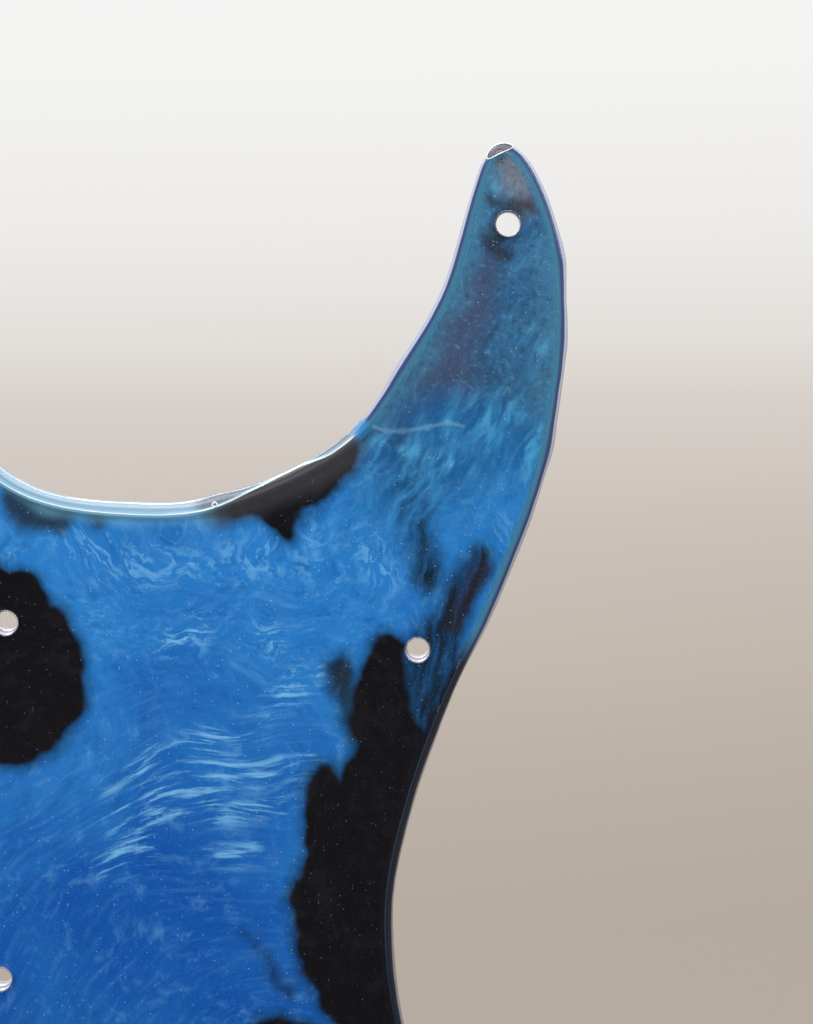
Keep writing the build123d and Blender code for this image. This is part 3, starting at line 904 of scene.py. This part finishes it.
class SCRATCHPLATE_OT_stage(bpy.types.Operator):
    """Set the pale sweep, the soft light and the camera"""

    bl_idname = "scratchplate.stage"
    bl_label = "Stage"

    def execute(self, context):
        settings = context.scene.scratchplate_stage
        scene = context.scene
        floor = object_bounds()[0][2]
        # The sweep's section: a flat floor, a quarter circle, then a wall.
        arc = np.linspace(0, np.pi / 2, 24)
        back = settings.distance
        flat = np.stack([np.linspace(-2.5, back - 1, 12), np.full(12, floor)], axis=1)
        bend = np.stack([back - 1 + np.sin(arc), floor + 1 - np.cos(arc)], axis=1)
        wall = np.stack([np.full(6, back), np.linspace(floor + 1.1, floor + 3, 6)], axis=1)
        section = np.concatenate([flat, bend[1:], wall])
        width = np.linspace(-4, 4, 9)
        points = np.stack(
            np.broadcast_arrays(width[:, None], section[None, :, 0], section[None, :, 1]), axis=-1
        )
        sweep = surface("sweep", points, False, False)
        sweep.data.materials.append(sweep_paper())
        sweep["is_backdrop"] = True

        for name, place, aim, size, power in (
            ("softbox", (-0.45, -0.95, 0.85), (0.08, 0, 0), (0.9, 0.6), settings.key),
            ("strip", (0.07, -0.16, 0.62), (0.07, 0, 0), (0.7, 0.12), settings.top),
            ("fill", (0.9, -0.8, 0.5), (0.1, 0, 0), (0.4, 0.6), settings.key * 0.3),
            ("back_fill", (-0.6, 1.6, 1.1), (0.02, 0, -0.05), (1.0, 0.8), settings.key * 1.2),
        ):
            light = bpy.data.lights.new(name, "AREA")
            light.shape, light.size, light.size_y, light.energy = "RECTANGLE", *size, power
            lamp = bpy.data.objects.new(name, light)
            lamp.location = place
            lamp.rotation_euler = (Vector(aim) - Vector(place)).to_track_quat("-Z", "Y").to_euler()
            scene.collection.objects.link(lamp)

        world = bpy.data.worlds.new("studio")
        world.use_nodes = True
        tree = world.node_tree
        tree.nodes.clear()
        seen = add(tree, "ShaderNodeLightPath", out="Is Camera Ray")
        bright = add(tree, "ShaderNodeBackground", {"Color": colour("#D8D2CC"), "Strength": 1.0})
        dim = add(tree, "ShaderNodeBackground", {"Color": colour("#E4E0DC"), "Strength": 0.04})
        mixed = add(tree, "ShaderNodeMixShader", {0: seen, 1: dim, 2: bright})
        add(tree, "ShaderNodeOutputWorld", {0: mixed}, out=None)
        scene.world = world
        scene.view_settings.view_transform = "Standard"

        place, aim, roll = Vector(CAMERA_PLACE), Vector(CAMERA_AIM), np.radians(CAMERA_ROLL)
        ahead = (aim - place).normalized()
        right = ahead.cross(Vector((0, 0, 1))).normalized()
        up = right.cross(ahead)
        right, up = right * np.cos(roll) + up * np.sin(roll), up * np.cos(roll) - right * np.sin(roll)
        camera = bpy.data.objects.new("camera", bpy.data.cameras.new("camera"))
        camera.data.lens = CAMERA_LENS
        camera.data.clip_start = 0.01
        camera.matrix_world = Matrix((
            (right.x, up.x, -ahead.x, place.x), (right.y, up.y, -ahead.y, place.y),
            (right.z, up.z, -ahead.z, place.z), (0, 0, 0, 1),
        ))
        scene.collection.objects.link(camera)
        scene.camera = camera
        return {"FINISHED"}


OPERATORS = (
    SCRATCHPLATE_OT_pours,
    SCRATCHPLATE_OT_face_coat,
    SCRATCHPLATE_OT_edge_bead,
    SCRATCHPLATE_OT_hole_sleeves,
    SCRATCHPLATE_OT_bubbles,
    SCRATCHPLATE_OT_stage,
)


class SCRATCHPLATE_PT_sidebar(bpy.types.Panel):
    """Lists the scratchplate's sizes, colours and steps"""

    bl_idname = "SCRATCHPLATE_PT_sidebar"
    bl_label = "Scratchplate"
    bl_space_type = "VIEW_3D"
    bl_region_type = "UI"
    bl_category = "Scratchplate"

    def draw(self, context):
        scene = context.scene
        for group in (scene.scratchplate_pours, scene.scratchplate_clear, scene.scratchplate_stage):
            box = self.layout.box()
            for name in group.__annotations__:
                box.prop(group, name)
        for operator in OPERATORS:
            self.layout.operator(operator.bl_idname)


GROUPS = (
    ("scratchplate_pours", PourSettings),
    ("scratchplate_clear", ClearSettings),
    ("scratchplate_stage", StageSettings),
)


def register():
    """Registers the settings, operators and panel."""
    for name, group in GROUPS:
        bpy.utils.register_class(group)
        setattr(bpy.types.Scene, name, PointerProperty(type=group))
    for part in (*OPERATORS, SCRATCHPLATE_PT_sidebar):
        bpy.utils.register_class(part)


def unregister():
    """Takes them away again."""
    for part in (SCRATCHPLATE_PT_sidebar, *reversed(OPERATORS)):
        bpy.utils.unregister_class(part)
    for name, group in reversed(GROUPS):
        delattr(bpy.types.Scene, name)
        bpy.utils.unregister_class(group)


def main():
    """Builds everything in order."""
    register()
    bpy.ops.scratchplate.pours()
    bpy.ops.scratchplate.face_coat()
    bpy.ops.scratchplate.edge_bead()
    bpy.ops.scratchplate.hole_sleeves()
    bpy.ops.scratchplate.bubbles()
    bpy.ops.scratchplate.stage()


if __name__ == "__main__":
    main()
